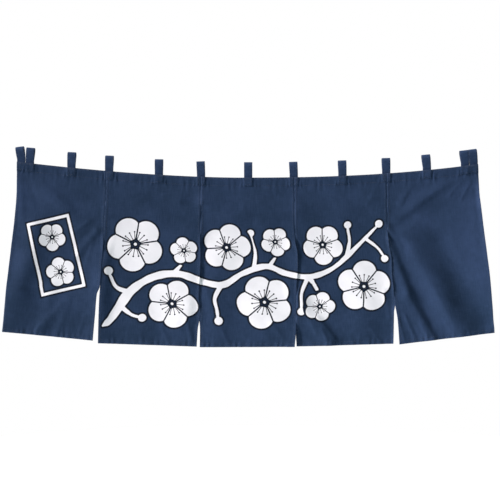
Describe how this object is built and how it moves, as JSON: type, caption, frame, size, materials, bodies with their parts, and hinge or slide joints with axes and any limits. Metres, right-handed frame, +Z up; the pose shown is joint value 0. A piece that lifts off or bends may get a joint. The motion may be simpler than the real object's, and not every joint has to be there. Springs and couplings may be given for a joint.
{
  "type": "noren curtain",
  "caption": "Wide, short split doorway curtain of indigo cotton: cloth widths sewn at the top and parted below, with sewn rod loops along a gently sagging top edge.",
  "frame": {"origin": "the middle of the inside of the middle loop, on the axis of the rod or cord that the curtain hangs on", "axes": "+X along the curtain to the right as seen from its front, +Y from the front face to the back, +Z up"},
  "size_m": [1.7691, 0.0338, 0.7231],
  "materials": {
    "indigo_cotton": "matt plain-weave cotton, dyed indigo"
  },
  "bodies": {
    "root": {"panel_1": "indigo_cotton", "panel_2": "indigo_cotton", "panel_3": "indigo_cotton", "panel_4": "indigo_cotton", "panel_5": "indigo_cotton", "tab_01": "indigo_cotton", "tab_02": "indigo_cotton", "tab_03": "indigo_cotton", "tab_04": "indigo_cotton", "tab_05": "indigo_cotton", "tab_06": "indigo_cotton", "tab_07": "indigo_cotton", "tab_08": "indigo_cotton", "tab_09": "indigo_cotton", "tab_10": "indigo_cotton", "tab_11": "indigo_cotton", "tab_12": "indigo_cotton", "tab_13": "indigo_cotton"}
  },
  "joints": []
}
